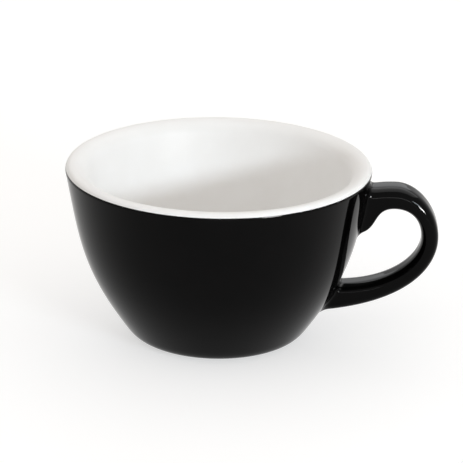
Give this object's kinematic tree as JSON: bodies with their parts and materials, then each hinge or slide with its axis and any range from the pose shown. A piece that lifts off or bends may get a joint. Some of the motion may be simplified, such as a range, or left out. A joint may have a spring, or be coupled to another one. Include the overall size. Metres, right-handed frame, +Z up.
{
  "type": "coffee cup",
  "caption": "Low, wide porcelain coffee cup with an ear handle, glossy black glaze outside, white glaze inside and a bare foot ring to stand on.",
  "frame": {"origin": "on the table, under the middle of the outer box, between the bowl's axis and the handle", "axes": "+X from the bowl's axis out along the handle, +Z up through the mouth"},
  "size_m": [0.1076, 0.088, 0.0524],
  "materials": {
    "porcelain": "bare fired porcelain",
    "black_glaze": "glossy black glaze",
    "white_glaze": "glossy warm white glaze"
  },
  "bodies": {
    "root": {"bowl": "porcelain", "handle": "porcelain", "upper_slip_joint": "porcelain", "lower_slip_joint": "porcelain", "black_glaze": "black_glaze", "white_glaze": "white_glaze", "base_glaze": "black_glaze"}
  },
  "joints": []
}
